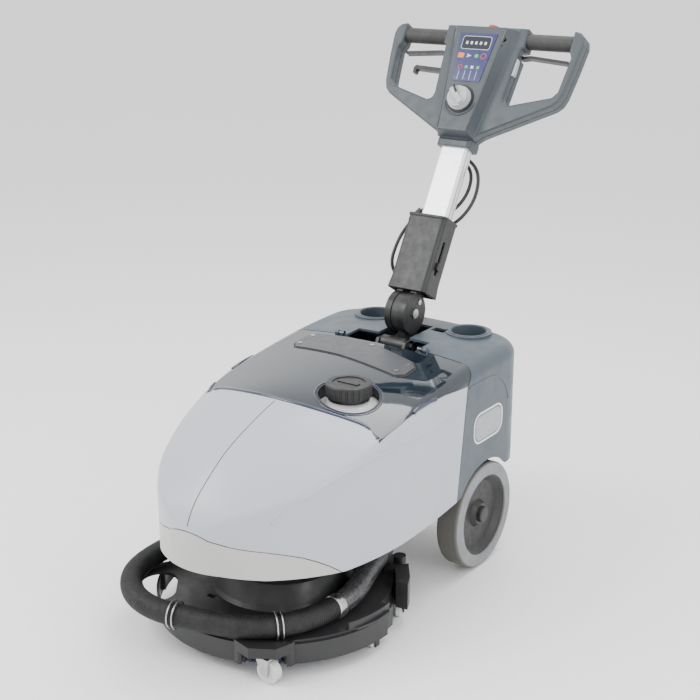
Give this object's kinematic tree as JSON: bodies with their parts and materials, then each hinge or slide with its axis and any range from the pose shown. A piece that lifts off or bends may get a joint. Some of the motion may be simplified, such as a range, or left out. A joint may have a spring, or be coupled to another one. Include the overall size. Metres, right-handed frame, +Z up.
{
  "type": "walk-behind floor scrubber",
  "caption": "Walk-behind floor scrubber with smoked tank lid, tilting handle, swivelling brush deck, squeegee and two wheels.",
  "frame": {"origin": "on the floor on the brush axis", "axes": "+Z up, -Y towards the nose, +X across the machine, along the wheel axle"},
  "size_m": [0.4458, 0.9474, 0.9459],
  "materials": {
    "hood_grey": "satin",
    "bumper_grey": "satin",
    "slate_shell": "satin",
    "smoked_lid": "gloss",
    "plate_grey": "satin",
    "black_plastic": "satin",
    "deck_black": "satin",
    "steel": "satin",
    "dark_steel": "satin",
    "tyre_grey": "matte",
    "rim_dark": "satin",
    "battery_case": "matte",
    "bar_slate": "satin",
    "grip_black": "matte",
    "tube_silver": "satin",
    "housing_grey": "satin",
    "panel_navy": "gloss",
    "knob_grey": "satin",
    "stop_red": "gloss",
    "cable_black": "satin",
    "hose_black": "matte",
    "blade_rubber": "matte",
    "bristle": "matte",
    "caster_white": "gloss",
    "tank_dark": "satin"
  },
  "bodies": {
    "chassis": {"chassis_frame": "dark_steel", "swivel_bearing": "black_plastic", "axle": "steel", "solution_tank": "hood_grey", "front_bumper": "bumper_grey", "recovery_tank": "tank_dark", "rear_body": "slate_shell", "batteries": "battery_case", "vacuum_motor": "black_plastic", "solution_pump": "black_plastic", "handle_column": "dark_steel", "knuckle_base": "dark_steel", "clamp_pin": "dark_steel", "lid_hinge_pins": "steel"},
    "lid": {"tank_lid": "smoked_lid", "lid_cover_plate": "plate_grey", "lid_plate_screws": "steel", "filler_neck": "black_plastic"},
    "cap": {"filler_cap": "black_plastic"},
    "deck": {"deck_housing": "deck_black", "front_skirt": "deck_black", "gearmotor": "black_plastic", "caster_bracket": "black_plastic", "squeegee_body": "deck_black", "squeegee_blade_front": "blade_rubber", "squeegee_blade_rear": "blade_rubber", "squeegee_knobs": "black_plastic", "hose_nozzle": "black_plastic", "recovery_hose": "hose_black", "hose_clips": "steel"},
    "brush": {"drive_hub": "steel", "brush_block": "deck_black", "brush_bristles": "bristle"},
    "wheel_left": {"tyre_left": "tyre_grey", "rim_left": "rim_dark", "hub_cap_left": "rim_dark"},
    "wheel_right": {"tyre_right": "tyre_grey", "rim_right": "rim_dark", "hub_cap_right": "rim_dark"},
    "caster": {"caster_fork": "steel"},
    "caster_roll": {"caster_wheel": "caster_white"},
    "side_roll": {"side_roller": "caster_white"},
    "squeegee_roll_left": {"squeegee_roller_left": "caster_white"},
    "squeegee_roll_right": {"squeegee_roller_right": "caster_white"},
    "handle": {"knuckle_covers": "black_plastic", "tilt_bolt": "steel", "handle_housing": "housing_grey", "handle_tube": "tube_silver", "handlebar_front": "bar_slate", "handlebar_rear": "bar_slate", "grips": "grip_black", "control_panel": "panel_navy", "handle_cables": "cable_black", "cable_connector": "black_plastic"},
    "latch": {"latch_slider": "black_plastic"},
    "lever_left": {"drive_lever_left": "black_plastic"},
    "lever_right": {"drive_lever_right": "black_plastic"},
    "release": {"release_lever": "black_plastic"},
    "knob": {"mode_knob": "knob_grey"},
    "button": {"stop_button": "stop_red"}
  },
  "joints": [
    {"name": "lid_hinge", "type": "hinge", "parent": "chassis", "child": "lid", "pos_m": [0, 0.2975, 0.4095], "axis": [1, 0, 0], "range_deg": [-60, 0]},
    {"name": "cap_lift", "type": "slide", "parent": "lid", "child": "cap", "axis": [0, 0, 1], "range_m": [0, 0.06]},
    {"name": "deck_swivel", "type": "hinge", "parent": "chassis", "child": "deck", "pos_m": [0, 0, 0.16], "axis": [0, 0, 1], "range_deg": [-90, 90], "deforming": ["recovery_hose"]},
    {"name": "brush_spin", "type": "hinge", "parent": "deck", "child": "brush", "pos_m": [0, 0, 0.1], "axis": [0, 0, 1], "continuous": true},
    {"name": "wheel_left_spin", "type": "hinge", "parent": "chassis", "child": "wheel_left", "pos_m": [-0.18, 0.342, 0.1], "axis": [1, 0, 0], "continuous": true},
    {"name": "wheel_right_spin", "type": "hinge", "parent": "chassis", "child": "wheel_right", "pos_m": [0.18, 0.342, 0.1], "axis": [1, 0, 0], "continuous": true},
    {"name": "caster_swivel", "type": "hinge", "parent": "deck", "child": "caster", "pos_m": [0.1125, -0.19486, 0.05], "axis": [0, 0, 1], "continuous": true},
    {"name": "caster_spin", "type": "hinge", "parent": "caster", "child": "caster_roll", "pos_m": [0.1235, -0.19486, 0.02], "axis": [0, 1, 0], "continuous": true},
    {"name": "side_roll_spin", "type": "hinge", "parent": "deck", "child": "side_roll", "pos_m": [0.197, -0.014, 0.014], "axis": [1, 0, 0], "continuous": true},
    {"name": "squeegee_roll_left_spin", "type": "hinge", "parent": "deck", "child": "squeegee_roll_left", "pos_m": [-0.177, 0.094, 0.015], "axis": [-0.8829, 0.4695, 0], "continuous": true},
    {"name": "squeegee_roll_right_spin", "type": "hinge", "parent": "deck", "child": "squeegee_roll_right", "pos_m": [0.177, 0.094, 0.015], "axis": [0.8829, 0.4695, 0], "continuous": true},
    {"name": "handle_tilt", "type": "hinge", "parent": "chassis", "child": "handle", "pos_m": [0, 0.378, 0.445], "axis": [1, 0, 0], "range_deg": [-25, 105]},
    {"name": "latch_slide", "type": "slide", "parent": "handle", "child": "latch", "axis": [0, 0.5, 0.866], "range_m": [0, 0.036]},
    {"name": "lever_left_squeeze", "type": "hinge", "parent": "handle", "child": "lever_left", "pos_m": [-0.08, 0.65689, 0.88905], "axis": [0, 0.866, -0.5], "range_deg": [0, 6], "stiffness_Nm_per_rad": 0.6, "springref_deg": -6.88},
    {"name": "lever_right_squeeze", "type": "hinge", "parent": "handle", "child": "lever_right", "pos_m": [0.08, 0.65689, 0.88905], "axis": [0, -0.866, 0.5], "range_deg": [0, 6], "stiffness_Nm_per_rad": 0.6, "springref_deg": -6.88},
    {"name": "release_pull", "type": "hinge", "parent": "handle", "child": "release", "pos_m": [-0.064, 0.63999, 0.85377], "axis": [0, 0.866, -0.5], "range_deg": [0, 12], "stiffness_Nm_per_rad": 0.6, "springref_deg": -6.88},
    {"name": "knob_turn", "type": "hinge", "parent": "handle", "child": "knob", "pos_m": [0, 0.56162, 0.81703], "axis": [0, 0.866, -0.5], "range_deg": [0, 90]},
    {"name": "button_push", "type": "slide", "parent": "handle", "child": "button", "axis": [0, -0.5, -0.866], "range_m": [0, 0.004], "stiffness_N_per_m": 300, "springref_m": -0.002}
  ]
}
